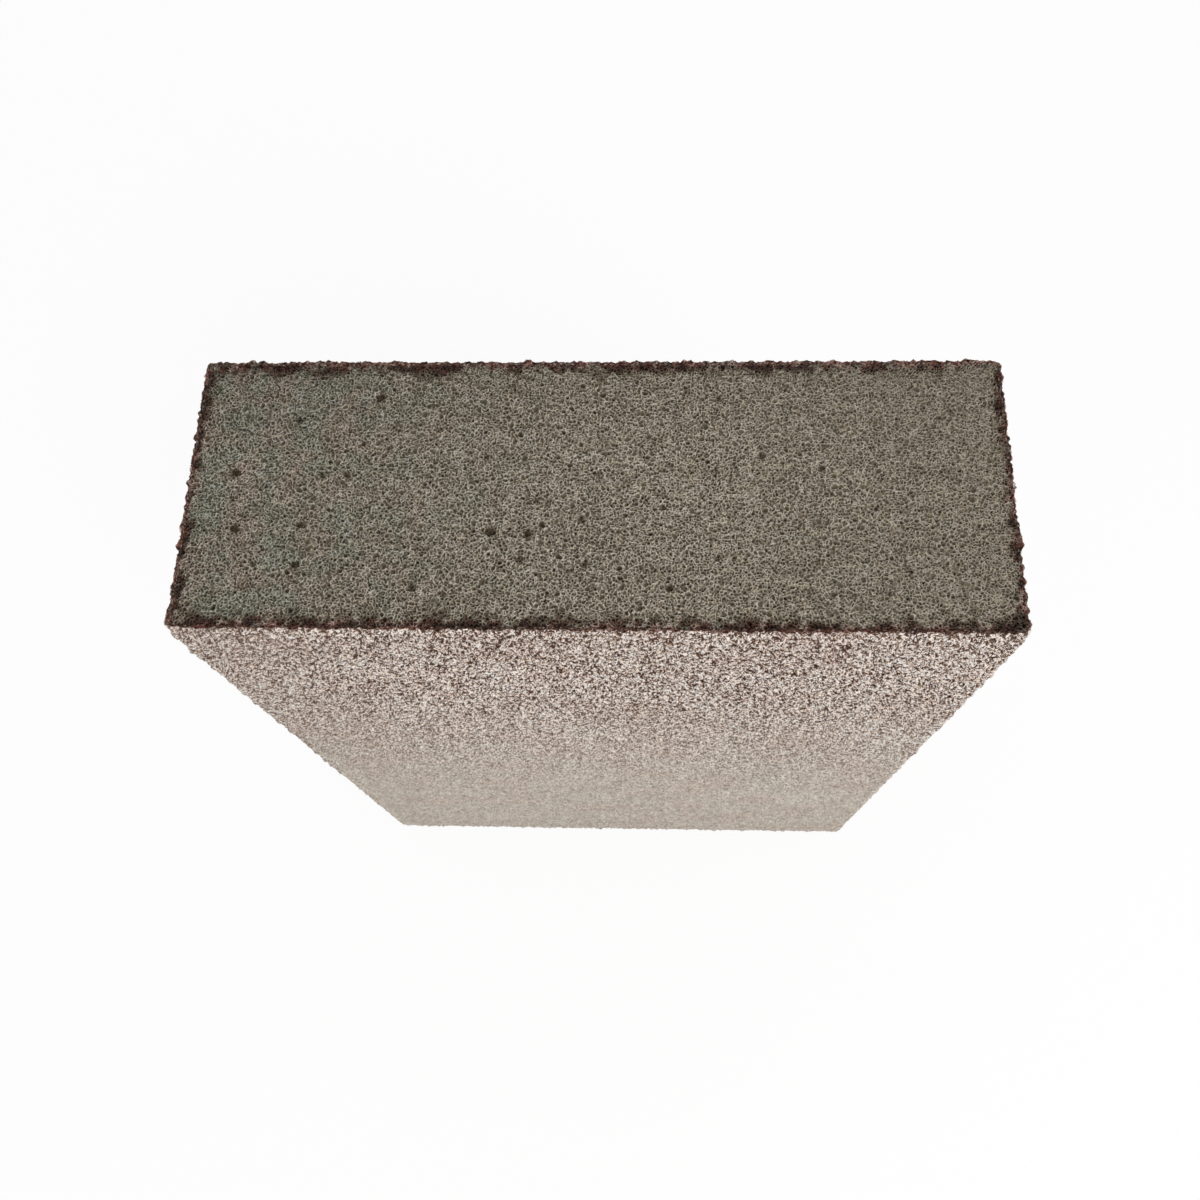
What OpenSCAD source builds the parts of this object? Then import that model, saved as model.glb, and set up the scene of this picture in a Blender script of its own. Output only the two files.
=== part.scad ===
// Foam sanding block with abrasive on its four long sides and two bare cut ends.
// It stands on a cut end: X is the width, Y the thickness and Z the length.
// The origin is the middle of the lower end, and the front wide side faces -Y.

/* [Block] */
// Width of the block, over the abrasive
block_w = 70; // [40:1:120]
// Thickness of the block between its two wide sides, over the abrasive
block_t = 25; // [15:1:40]
// Length of the block between its two cut ends
block_l = 100; // [60:1:160]
// Radius of the four long corners, at the outside
corner_r = 0.6; // [0.4:0.1:2.5]

/* [Coating] */
// Depth of the resin that soaks into the foam and holds the grain
make_coat_t = 0.8; // [0.4:0.05:1.5]
// Thickness of the layer of abrasive grain
grain_t = 0.35; // [0.1:0.05:0.8]
// Thickness of the thin resin film that locks the grain
size_coat_t = 0.1; // [0.05:0.05:0.3]

/* [Foam] */
// Radius of the foam core's long corners, where the coats leave room for none
core_corner_r = 0.25; // [0.1:0.05:1]
// Radius of the smallest large pore on a cut end
pore_r_min = 0.3; // [0.2:0.05:0.6]
// Radius of the largest pore on a cut end
pore_r_max = 0.6; // [0.3:0.05:1]
// Spacing of the large pores, before they are scattered
pore_pitch = 5; // [4:0.5:10]
// Foam left between two pores, and between a pore and the coats
pore_gap = 0.4; // [0.2:0.1:1]
// Number that picks the scatter of the pores
pore_seed = 11; // [1:1:99]

/* [Hidden] */
$fn = 48;

// Depth of each boundary between layers, counted in from the outside
grain_depth = size_coat_t;
make_coat_depth = grain_depth + grain_t;
core_depth = make_coat_depth + make_coat_t;

// Size of the foam core inside the coats
core_w = block_w - 2 * core_depth;
core_t = block_t - 2 * core_depth;

// Turn of each long side about Z, from the front side
front = 0;
right = 90;
back = 180;
left = 270;

// Pores lie on a loose grid that fits inside the core
pore_columns = floor((core_w - 2 * pore_gap) / pore_pitch);
pore_rows = floor((core_t - 2 * pore_gap) / pore_pitch);
pore_stray = pore_pitch / 2 - pore_r_max - pore_gap / 2;

foam_colour = [0.41, 0.38, 0.33];
make_coat_colour = [0.27, 0.17, 0.15];
grain_colour = [0.62, 0.55, 0.50];
size_coat_colour = [0.66, 0.60, 0.55];

// Corner radius of the boundary that lies this deep under the outside
function boundary_r(depth) = max(corner_r - depth, core_corner_r);

// Width of a long side, and the block's size across that side
function side_span(side) = side % 180 == 0 ? block_w : block_t;
function side_across(side) = side % 180 == 0 ? block_t : block_w;

module rounded_rectangle(w, h, r) {
    square([w - 2 * r, h], center = true);
    square([w, h - 2 * r], center = true);
    for (x = [-1, 1], y = [-1, 1])
        translate([x * (w / 2 - r), y * (h / 2 - r)])
            circle(r);
}

// Cross-section of the block at one boundary, seen from the end of a turned side
module boundary(side, depth) {
    rounded_rectangle(side_span(side) - 2 * depth, side_across(side) - 2 * depth, boundary_r(depth));
}

// The part of a cross-section that belongs to one side: it is mitred at both long corners
module mitred_side(side) {
    half = side_span(side) / 2;
    outside = side_across(side) / 2;
    reach = core_depth + core_corner_r;
    polygon([
        [-half, -outside],
        [half, -outside],
        [half - reach, reach - outside],
        [reach - half, reach - outside],
    ]);
}

// One layer on one long side, between two depths under the outside
module layer(side, outer_depth, inner_depth) {
    rotate([0, 0, side])
        linear_extrude(block_l)
            intersection() {
                difference() {
                    boundary(side, outer_depth);
                    boundary(side, inner_depth);
                }
                mitred_side(side);
            }
}

// Burst cells that lie open on a cut end, each on its own square of the grid
module pores(end_z, seed) {
    count = pore_columns * pore_rows;
    radii = rands(pore_r_min, pore_r_max, count, seed);
    strays = rands(-pore_stray, pore_stray, 2 * count, seed + 1);
    for (column = [0:pore_columns - 1], row = [0:pore_rows - 1]) {
        i = column * pore_rows + row;
        x = (column - (pore_columns - 1) / 2) * pore_pitch + strays[2 * i];
        y = (row - (pore_rows - 1) / 2) * pore_pitch + strays[2 * i + 1];
        translate([x, y, end_z])
            sphere(radii[i]);
    }
}

module foam_core() {
    color(foam_colour)
        difference() {
            linear_extrude(block_l)
                boundary(front, core_depth);
            pores(0, pore_seed);
            pores(block_l, pore_seed + 2);
        }
}

// Resin that has soaked into the outer cells of the foam
module make_coat(side) {
    color(make_coat_colour)
        layer(side, make_coat_depth, core_depth);
}

// Abrasive grain, bedded in the make coat
module grain(side) {
    color(grain_colour)
        layer(side, grain_depth, make_coat_depth);
}

// Resin film over the grain
module size_coat(side) {
    color(size_coat_colour)
        layer(side, 0, grain_depth);
}

foam_core();
make_coat(front);  // front_make_coat
grain(front);  // front_grain
size_coat(front);  // front_size_coat
make_coat(back);  // back_make_coat
grain(back);  // back_grain
size_coat(back);  // back_size_coat
make_coat(left);  // left_make_coat
grain(left);  // left_grain
size_coat(left);  // left_size_coat
make_coat(right);  // right_make_coat
grain(right);  // right_grain
size_coat(right);  // right_size_coat
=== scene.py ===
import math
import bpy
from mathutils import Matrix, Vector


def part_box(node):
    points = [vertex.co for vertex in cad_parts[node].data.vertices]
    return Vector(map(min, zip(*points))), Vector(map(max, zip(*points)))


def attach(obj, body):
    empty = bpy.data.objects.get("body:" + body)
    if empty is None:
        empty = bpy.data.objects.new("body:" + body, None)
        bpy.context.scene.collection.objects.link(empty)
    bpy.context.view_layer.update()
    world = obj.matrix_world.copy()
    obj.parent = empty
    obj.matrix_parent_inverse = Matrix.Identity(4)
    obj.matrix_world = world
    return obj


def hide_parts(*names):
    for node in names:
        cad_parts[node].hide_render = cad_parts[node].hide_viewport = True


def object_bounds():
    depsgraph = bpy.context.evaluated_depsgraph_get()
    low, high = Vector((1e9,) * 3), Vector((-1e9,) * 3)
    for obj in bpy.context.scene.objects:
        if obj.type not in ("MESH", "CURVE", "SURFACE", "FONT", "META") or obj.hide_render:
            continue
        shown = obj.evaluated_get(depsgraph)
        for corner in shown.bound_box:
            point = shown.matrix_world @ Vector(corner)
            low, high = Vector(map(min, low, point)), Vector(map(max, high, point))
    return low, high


bl_info = {
    "name": "Foam Sanding Block",
    "version": (1, 0, 0),
    "blender": (4, 5, 0),
    "location": "3D View > Sidebar > Sanding Block",
    "description": "Dresses a foam sanding block with open cells, soaked rims and abrasive grain",
    "category": "Object",
}

from collections import namedtuple

import bpy
import numpy as np
from bpy.props import FloatProperty, FloatVectorProperty, IntProperty, PointerProperty
from mathutils import Quaternion, Vector
from mathutils.bvhtree import BVHTree

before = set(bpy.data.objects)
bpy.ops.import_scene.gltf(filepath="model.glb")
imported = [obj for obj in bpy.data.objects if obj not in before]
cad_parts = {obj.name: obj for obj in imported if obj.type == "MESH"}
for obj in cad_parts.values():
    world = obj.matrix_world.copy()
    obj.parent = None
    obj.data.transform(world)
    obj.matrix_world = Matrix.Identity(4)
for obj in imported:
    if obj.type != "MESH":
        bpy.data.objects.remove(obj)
cad_low, cad_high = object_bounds()

MM = 0.001
BODY = "root"

# The map that a finish is baked to, its width in pixels and the margin round each patch of it
BAKE_MAP = "OFBake"
BAKE_PIXELS = 1024
MARGIN = 8
BAKE_ROOM = BAKE_PIXELS - 2 * MARGIN
# Least height of a cut end on the map, and greatest width of a coat's plain inside
LEAST_END = 8 * MARGIN
MOST_INSIDE = BAKE_PIXELS / 8

# The block's own sizes, from the bounds of the imported parts
BLOCK = cad_high - cad_low
CORE_DEPTH = cad_high.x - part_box("foam_core")[1].x

# The four long sides in turn about Z, each a quarter turn on from the one before
SIDES = ("front", "right", "back", "left")

# Seeds, and what is added to one, so that each kind of random draw has numbers of its own
LOWER_END_SEED = 100
BLOWN_SEED = 1
SLOW_TONE_SEED = 2
RIM_SEED = 10
SHORT_BAY_SEED = 1
CORNER_SEED = 50
LOBE_SEED = 9
CLUMP_SEED = 10
FILM_SEED = 500


def srgb(red, green, blue):
    """A colour as a picture shows it, from 0 to 255, as the linear values that Blender keeps."""

    # The curve of the sRGB standard
    def linear(value):
        value /= 255
        if value <= 0.04045:
            return value / 12.92
        return ((value + 0.055) / 1.055) ** 2.4

    return linear(red), linear(green), linear(blue)


def length_setting(label, what, millimetres):
    return FloatProperty(
        name=label, description=what, default=millimetres * MM, unit="LENGTH", precision=6
    )


def share_setting(label, what, share):
    return FloatProperty(name=label, description=what, default=share, subtype="FACTOR", min=0, max=1)


def factor_setting(label, what, factor):
    return FloatProperty(name=label, description=what, default=factor)


def seed_setting(what, number):
    return IntProperty(name="Seed", description=what, default=number)


def colour_setting(label, what, red, green, blue):
    return FloatVectorProperty(
        name=label, description=what, default=srgb(red, green, blue), subtype="COLOR"
    )


def place_setting(label, what, *millimetres):
    return FloatVectorProperty(
        name=label,
        description=what,
        default=[value * MM for value in millimetres],
        subtype="TRANSLATION",
        unit="LENGTH",
    )


class FoamCells(bpy.types.PropertyGroup):
    """Sizes of the cells that a cut lays open"""

    step: length_setting("Step", "Spacing of the cut end's mesh", 0.05)
    cell: length_setting("Cell", "Mean width of a foam cell", 0.24)
    rib: length_setting("Rib", "Half the width of the rib between two cells, at its foot", 0.053)
    torn: length_setting("Torn", "How far the cut tears the lowest ribs down", 0.06)
    shallowest: length_setting("Shallowest", "Depth of the shallowest cell floor", 0.03)
    deepest_floor: length_setting("Deepest Floor", "Depth of the deepest whole cell floor", 0.2)
    deepest: length_setting("Deepest", "Depth that shows through the deepest burst floor", 0.5)
    burst_rim: length_setting("Burst Rim", "Width of the rim that a burst floor leaves", 0.03)
    burst_share: share_setting("Burst Share", "Share of the cell floors that are burst", 0.5)
    pore_rim: length_setting("Pore Rim", "How much of a pore's depth its sunk rim takes up", 0.34)
    blown_pitch: length_setting("Blown Pitch", "Mean distance between blown cells", 2.1)
    blown_least: length_setting("Blown Least", "Radius of the smallest blown cell", 0.16)
    blown_most: length_setting("Blown Most", "Radius of the largest blown cell", 0.32)
    blown_burst: share_setting("Blown Burst", "Share of the blown cells that are dark inside", 0.22)
    seed: seed_setting("Number that picks the scatter of the cells", 7)


class RimSizes(bpy.types.PropertyGroup):
    """How far the resin soaks in from the long sides, as a cut end shows it"""

    ribs: length_setting("Ribs", "Mean depth to which ribs are soaked", 0.62)
    ribs_stray: length_setting("Ribs Stray", "How much that depth varies along the rim", 0.2)
    hollows: length_setting("Hollows", "Mean depth to which hollows are soaked", 0.95)
    hollows_stray: length_setting("Hollows Stray", "How much that depth varies along the rim", 0.34)
    cell_stray: length_setting("Cell Stray", "How much either depth varies from cell to cell", 0.36)
    deeper: factor_setting("Deeper", "How much deeper soaked hollows are", 1.2)
    # Depths of the band next to the resin where the foam is painted darker as shade
    shade: length_setting("Shade", "Mean depth to which the foam is dulled", 1.1)
    shade_stray: length_setting("Shade Stray", "How much that depth varies along the rim", 0.5)
    shade_edge: length_setting("Shade Edge", "Half the width over which dulled foam turns clean", 0.6)
    sink: length_setting("Sink", "How far the dulled foam lies under the cut", 0.1)
    edge: length_setting("Edge", "Half the width over which soaked foam turns bare", 0.1)
    long_wave: length_setting("Long Wave", "Length of the rim's long bays", 2.6)
    short_wave: length_setting("Short Wave", "Length of the rim's short bays", 0.8)


class CoatSizes(bpy.types.PropertyGroup):
    """Sizes of the coats on the long sides"""

    corner_radius: length_setting("Corner Radius", "Radius of the long corners", 0.6)
    grain: length_setting("Grain", "Spacing of the grain's points", 0.13)
    grain_peak: length_setting("Grain Peak", "Height of the highest grain over the side", 0.12)
    grain_dip: length_setting("Grain Dip", "Depth of the deepest gap between grains", 0.14)
    bed: length_setting("Bed", "Depth of the grain's bed, where the soaked foam begins", 0.25)
    rubbed: length_setting("Rubbed", "Width of the strip of rubbed-down grain along a cut end", 0.6)
    rubbed_share: share_setting("Rubbed Share", "Share of its height that it keeps at a cut end", 0.4)
    film: length_setting("Film", "Spacing of the resin film's mesh", 0.45)
    film_depth: length_setting("Film Depth", "Mean depth of the film under the side", 0.16)
    film_short: length_setting("Film Short", "How far the film ends short of the cut ends", 0.3)
    clump: length_setting("Clump", "Height of the clumps of grain", 0.03)
    clump_wave: length_setting("Clump Wave", "Distance between clumps of grain", 0.5)
    swell: length_setting("Swell", "Height of the side's rounded lobes", 0.06)
    swell_wave: length_setting("Swell Wave", "Distance between two lobes and the next two", 1.3)
    ragged: length_setting("Ragged", "Width of the strip of higher lobes along a cut end", 1.5)
    ragged_rise: factor_setting("Ragged Rise", "How much higher the lobes are there", 1.4)
    flare: length_setting("Flare", "How far the sides stand out beyond their drawn-in cut ends", 0.29)
    flare_length: length_setting("Flare Length", "How far from a cut end they stand out in full", 3)
    seed: seed_setting("Number that picks the scatter of the grain", 3)


class BlockColours(bpy.types.PropertyGroup):
    """Colours of the block's finishes"""

    # The foam colours run from a painted highlight on the ribs to painted shade in the hollows and pores
    rib: colour_setting("Foam Rib", "Ribs that the cut left bright", 215, 207, 193)
    foam: colour_setting("Foam", "Foam just under the cut", 123, 114, 100)
    hollow: colour_setting("Foam Hollow", "Floor of a deep cell", 88, 79, 63)
    pore: colour_setting("Foam Pore", "Inside of burst cells", 38, 31, 22)
    green_foam: colour_setting("Green Foam", "Tint of the foam's cooler patches", 224, 235, 236)
    pink_foam: colour_setting("Pink Foam", "Tint of the foam's warmer patches", 239, 233, 235)
    cool_foam: colour_setting("Cool Foam", "Tint of the cooler cells", 252, 253, 255)
    warm_foam: colour_setting("Warm Foam", "Tint of the warmer cells", 255, 252, 245)
    # Painted shade on the foam towards the back side
    back_shade: colour_setting("Back Foam", "Tint of the foam towards the back side", 240, 240, 240)
    # Soaked colours: the resin's own colour, with painted light on the ribs and painted shade in the
    # hollows
    soaked_rib: colour_setting("Soaked Rib", "Ribs of the soaked foam", 191, 167, 156)
    soaked: colour_setting("Soaked Foam", "Resin-soaked foam under the coats", 112, 82, 72)
    soaked_hollow: colour_setting("Soaked Hollow", "Hollows of the soaked foam", 48, 31, 27)
    brown_resin: colour_setting("Brown Resin", "Tint of the browner patches of resin", 205, 235, 235)
    red_resin: colour_setting("Red Resin", "Tint of the resin that beds the grain", 241, 220, 214)
    # Grain colours from the gaps to the palest tips: partly their own colours, partly painted shade in the
    # gaps and painted sheen on the tips
    gap: colour_setting("Grain Gap", "Resin between the grains", 58, 33, 22)
    grain_dark: colour_setting("Dark Grain", "Darkest grains", 116, 82, 63)
    grain: colour_setting("Grain", "Most grains", 183, 159, 139)
    grain_pale: colour_setting("Pale Grain", "Palest grains", 252, 247, 241)
    grain_pink: colour_setting("Pink Grain", "Tint of the warmer patches of grain", 252, 247, 245)
    grain_cool: colour_setting("Cool Grain", "Tint of the cooler grains", 241, 245, 251)
    grain_warm: colour_setting("Warm Grain", "Tint of the warmer grains", 254, 245, 236)
    worn_grain: colour_setting("Worn Grain", "Grain that is worn even", 164, 148, 137)
    # Dust colours, which on the front side's lower part also serve as painted light from the floor
    dust: colour_setting("Dust", "Sanding dust that lies on the grain", 212, 204, 192)
    dust_low: colour_setting("Thin Dust", "Thinner patches of the dust", 183, 173, 161)
    floor: colour_setting("Floor", "Plain floor", 250, 250, 250)


class Studio(bpy.types.PropertyGroup):
    """Camera and light"""

    camera_place: place_setting("Camera Place", "Where the camera stands", 4.69, -42.3, 188.31)
    camera_aim: place_setting("Camera Aim", "Point at the middle of the picture", 0.67, -9.91, 100)
    camera_roll: FloatProperty(
        name="Camera Roll",
        description="Turn about the view's axis",
        default=math.radians(-6.266),
        subtype="ANGLE",
    )
    lens: FloatProperty(
        name="Lens",
        description="Focal length on a 36 mm picture",
        default=34.63,
        subtype="DISTANCE_CAMERA",
    )
    lamp_place: place_setting("Lamp Place", "Where the soft lamp hangs", 170, -240, 380)
    lamp_width: length_setting("Lamp Width", "Width of the soft lamp", 240)
    lamp: FloatProperty(name="Lamp", description="Power of the soft lamp", default=0.75, subtype="POWER")
    sky: factor_setting("Sky", "Strength of the even light from all round", 0.72)
    lift: share_setting("Lift", "How far the floor is lifted to white in the picture", 0.88)


class PieceMesh:
    """Points and faces of one piece, gathered patch by patch, with each face's place on the bake map."""

    def __init__(self):
        self.points = []
        self.corners = []
        self.sizes = []
        self.map_points = []
        self.tones = []
        self.soaks = []
        self.count = 0

    def add_points(self, points, tones=0.0, soaks=0.0):
        """Takes points in any shape of array, with tones and soaks, and numbers them in that shape."""
        shape = points.shape[:-1]
        flat = points.reshape(-1, 3)
        numbers = np.arange(self.count, self.count + len(flat)).reshape(shape)
        self.points.append(flat)
        self.tones.append(np.broadcast_to(np.asarray(tones, float), shape).ravel())
        self.soaks.append(np.broadcast_to(np.asarray(soaks, float), shape).ravel())
        self.count += len(flat)
        return numbers

    def add_faces(self, corners, map_points):
        """Takes faces as rows of point numbers, with the map's place of each corner."""
        self.corners.append(corners.ravel())
        self.sizes.append(np.full(len(corners), corners.shape[1]))
        self.map_points.append(map_points.reshape(-1, 2))

    def build(self, name):
        """Makes the object, with its bake map and the tone and soak of each point."""
        mesh = bpy.data.meshes.new(name)
        points = np.concatenate(self.points)
        corners = np.concatenate(self.corners)
        sizes = np.concatenate(self.sizes)
        mesh.vertices.add(len(points))
        mesh.vertices.foreach_set("co", points.astype(np.float32).ravel())
        mesh.loops.add(len(corners))
        mesh.loops.foreach_set("vertex_index", corners.astype(np.int32))
        mesh.polygons.add(len(sizes))
        mesh.polygons.foreach_set("loop_start", (np.cumsum(sizes) - sizes).astype(np.int32))
        mesh.polygons.foreach_set("use_smooth", np.full(len(sizes), True))
        mesh.update(calc_edges=True)
        uv_map = mesh.uv_layers.new(name=BAKE_MAP)
        uv_map.data.foreach_set("uv", np.concatenate(self.map_points).astype(np.float32).ravel())
        for label, values in (("tone", self.tones), ("soak", self.soaks)):
            attribute = mesh.attributes.new(label, "FLOAT", "POINT")
            attribute.data.foreach_set("value", np.concatenate(values).astype(np.float32))
        mesh.validate()
        piece = bpy.data.objects.new(name, mesh)
        bpy.context.scene.collection.objects.link(piece)
        return piece


def quads(grid):
    """The four corners of each square of a grid, from an array whose first two sides are the grid."""
    ring = [grid[:-1, :-1], grid[1:, :-1], grid[1:, 1:], grid[:-1, 1:]]
    return np.stack(ring, axis=2).reshape(-1, 4, *grid.shape[2:])


def map_grid(columns, rows, left, low, wide, high):
    """Even places on the bake map for a grid, in a box given in pixels."""
    across = left + np.linspace(0, wide, columns)
    up = low + np.linspace(0, high, rows)
    return np.stack(np.meshgrid(across, up, indexing="ij"), axis=-1) / BAKE_PIXELS


# Number of sine waves in a random height, and their lengths against the one that is asked for
WAVES = 40
WAVE_LENGTHS = (0.6, 1.8)


def random_waves(points, wave, seed):
    """A smooth random height of about unit size at each point, with bumps of about that wavelength."""
    random = np.random.default_rng(seed)
    headings = random.normal(size=(WAVES, 3))
    headings /= np.linalg.norm(headings, axis=1, keepdims=True)
    lengths = wave * random.uniform(*WAVE_LENGTHS, WAVES)
    phases = random.uniform(0, 2 * math.pi, WAVES)
    total = np.zeros(points.shape[:-1])
    for heading, length, phase in zip(headings, lengths, phases):
        total += np.sin(points @ heading * (2 * math.pi / length) + phase)
    return total / math.sqrt(WAVES / 2)


def smooth_step(low, high, value):
    share = np.clip((value - low) / (high - low), 0, 1)
    return share * share * (3 - 2 * share)


def blend(share, first, second):
    return first + (second - first) * share


# Cut ends of the foam

# What a cut lays open at each point: the middle of the cell, the depth of its floor and of what shows
# through it, the point's distance from the floor's edge with a draw for that floor, and its distance from
# the nearest rib with a draw for that rib
CellCut = namedtuple("CellCut", "x y floor beyond floor_edge floor_draw rib rib_draw")

# Height, tone and soak of each point of a cut end
EndRelief = namedtuple("EndRelief", "height tone soak")

# Tones of a cut end, from the darkest pore at 0 to the brightest rib at 1. They are painted light and
# shade by depth: the highest ribs brightest, deeper floors and burst cells darker
FLOOR_TONE = 0.5
DEEP_FLOOR_TONE = 0.26
BURST_TONE = 0.04
DULL_RIB_TONE = 0.5
BRIGHT_RIB_TONE = 1.0
# How dark a sunk pore is painted against the foam round it, as shade
PORE_SHADE_TONE = 0.2
# How much darker the foam next to the resin is painted, as shade, against the rest
SHADE_TONE = 0.72
# How much narrower that painted shade is along the two narrow sides
SHADE_STRETCH = 1.6
# How much the tone wanders over the cut end, and over what length
SLOW_TONE = 0.02
SLOW_TONE_WAVE = 1.7 * MM
# Share of a rib's half width that is flat on top
RIB_CREST = 0.15

# How far a blown cell's middle lies over the cut at most, in radii
BLOWN_SINK = 0.6
# How uneven its mouth is, with two and with three lobes
BLOWN_LOBES = (0.2, 0.14)
# How far over the cut a sight line into the solid core's pores begins
SIGHT_START = 1 * MM

# Shares of the rim's long and short bays
LONG_BAYS = 0.7
SHORT_BAYS = 0.5
# The bays between which the rim darkens, and its tones there
POOL_BAYS = (-0.9, 0.7)
POOL_TONES = (1.08, 0.46)
# How much narrower the soaked foam is along the two narrow sides
SOAK_STRETCH = 1.2


def rim_distance(x, y, stretch=1.0):
    """How far each point of a cross-section lies in from the nearest side, stretched at narrow ones."""
    return np.minimum(stretch * (BLOCK.x / 2 - np.abs(x)), BLOCK.y / 2 - np.abs(y))


def rim_bays(x, y, end, rim):
    """How far past its mean depth the resin reaches at each point of a cut end, of about unit size."""
    flat = np.stack([x, y, np.zeros(x.shape)], axis=-1)
    seed = RIM_SEED + (0 if end > 0 else LOWER_END_SEED)
    bays = LONG_BAYS * random_waves(flat, rim.long_wave, seed)
    return bays + SHORT_BAYS * random_waves(flat, rim.short_wave, seed + SHORT_BAY_SEED)


def pool_tone(bays):
    """How dark the soaked foam is where the resin reaches far, against where it draws back."""
    return blend(smooth_step(*POOL_BAYS, bays), *POOL_TONES)


class PackedBubbles:
    """Bubbles packed on both sides of one cut, whose walls the cut lays open. Lengths are in cells."""

    # Levels of bubbles in all and over the cut, and bubbles beyond each side of the block
    LEVELS = 5
    LEVELS_OVER = 1
    SPARE = 3
    # How far a bubble strays from the middle of its place, and the most that it weighs
    STRAY = 0.46
    WEIGHT = 0.35
    # Share of the bubbles that are large, and what they weigh beyond the others
    LARGE_SHARE = 0.05
    LARGE_WEIGHT = (0.25, 0.6)
    # A wall that leans less than this lies along the cut, or stands square to it
    LEAST_LEAN = 1e-3
    POINTS_AT_ONCE = 8192

    def __init__(self, cell, seed):
        self.cell = cell
        self.columns = math.ceil(BLOCK.x / cell) + 2 * self.SPARE
        self.rows = math.ceil(BLOCK.y / cell) + 2 * self.SPARE
        shape = (self.columns, self.rows, self.LEVELS)
        random = np.random.default_rng(seed)
        self.centres = random.uniform(0.5 - self.STRAY, 0.5 + self.STRAY, (*shape, 3))
        # A heavier bubble takes room from its neighbours
        self.weights = random.uniform(0, self.WEIGHT, shape)
        large = random.uniform(size=shape) < self.LARGE_SHARE
        self.weights[large] += random.uniform(*self.LARGE_WEIGHT, large.sum())
        self.draws = random.uniform(size=shape)
        beside = (-1, 0, 1)
        self.around = np.array([(across, up) for across in beside for up in beside])

    def near(self, u, v):
        """One row for each bubble near the points: its way off, its height, its reach and its draw."""
        a = np.floor(u).astype(int) + self.around[:, :1]
        b = np.floor(v).astype(int) + self.around[:, 1:]
        place = self.centres[a, b]
        du = a[..., None] + place[..., 0] - u[:, None]
        dv = b[..., None] + place[..., 1] - v[:, None]
        height = place[..., 2] + self.LEVELS_OVER - np.arange(self.LEVELS)
        reach = du * du + dv * dv + height * height - self.weights[a, b]
        rows = (du, dv, height, reach, self.draws[a, b])
        return [row.swapaxes(1, 2).reshape(-1, u.size) for row in rows]

    def walls(self, gap, lean):
        """Distance to the wall shared with each near bubble, where the wall leans enough to be met."""
        return np.where(lean > self.LEAST_LEAN, gap / (2 * np.maximum(lean, self.LEAST_LEAN)), np.inf)

    def cut_points(self, u, v):
        """What the cut lays open at a few points, given in cells."""

        def picked(rows, number):
            return np.take_along_axis(rows, number[None], axis=0)[0]

        du, dv, height, reach, draw = self.near(u, v)
        own = reach.argmin(axis=0)
        own_u, own_v, own_draw = picked(du, own), picked(dv, own), picked(draw, own)
        gap = reach - picked(reach, own)
        beside = self.walls(gap, np.hypot(du - own_u, dv - own_v))
        rib = beside.argmin(axis=0)
        down = self.walls(gap, picked(height, own) - height)
        under = down.argmin(axis=0)
        floor = picked(down, under)
        further = self.walls(reach - picked(reach, under), picked(height, under) - height)
        beyond = np.where(further > floor, further, np.inf).min(axis=0)
        np.put_along_axis(down, under[None], np.inf, axis=0)
        return CellCut(
            x=(u + own_u - self.columns / 2) * self.cell,
            y=(v + own_v - self.rows / 2) * self.cell,
            floor=floor * self.cell,
            beyond=beyond * self.cell,
            floor_edge=(down.min(axis=0) - floor) * self.cell,
            floor_draw=(picked(draw, under) + own_draw) % 1,
            rib=picked(beside, rib) * self.cell,
            rib_draw=(picked(draw, rib) + own_draw) % 1,
        )

    def cut(self, x, y):
        """What the cut lays open at each point."""
        u = x.ravel() / self.cell + self.columns / 2
        v = y.ravel() / self.cell + self.rows / 2
        parts = []
        for start in range(0, u.size, self.POINTS_AT_ONCE):
            some = slice(start, start + self.POINTS_AT_ONCE)
            parts.append(self.cut_points(u[some], v[some]))
        return CellCut(*(np.concatenate(values).reshape(x.shape) for values in zip(*parts)))


def blown_cells(x, y, cells, seed):
    """Depth and tone of larger cells at each point of a cut end, and how far inside one the point lies."""
    random = np.random.default_rng(seed)
    count = round(BLOCK.x * BLOCK.y / cells.blown_pitch**2)
    middles = random.uniform(-0.5, 0.5, (count, 2)) * (BLOCK.x, BLOCK.y)
    radii = random.uniform(cells.blown_least, cells.blown_most, count)
    sinks = random.uniform(-BLOWN_SINK, 0, count) * radii
    turns = random.uniform(0, 2 * math.pi, (count, len(BLOWN_LOBES)))
    floors = np.where(random.uniform(size=count) < cells.blown_burst, BURST_TONE, DEEP_FLOOR_TONE)
    depth = np.zeros(x.shape)
    tone = np.full(x.shape, FLOOR_TONE)
    inside = np.full(x.shape, -1.0)
    for (mx, my), radius, sink, turn, floor in zip(middles, radii, sinks, turns, floors):
        mouth = math.sqrt(radius**2 - sink**2)
        near = np.hypot(x - mx, y - my) < (1 + sum(BLOWN_LOBES)) * mouth + cells.rib
        dx, dy = x[near] - mx, y[near] - my
        heading = np.arctan2(dy, dx)
        lobes = sum(share * np.sin((n + 2) * heading + turn[n]) for n, share in enumerate(BLOWN_LOBES))
        away = np.hypot(dx, dy) / (1 + lobes)
        bowl = sink + np.sqrt(np.maximum(radius**2 - away**2, 0))
        depth[near] = np.maximum(depth[near], bowl)
        deep = np.clip(bowl / (radius + sink), 0, 1)
        tone[near] = np.minimum(tone[near], blend(deep, FLOOR_TONE, floor))
        inside[near] = np.maximum(inside[near], mouth - away)
    return depth, tone, inside


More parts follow.
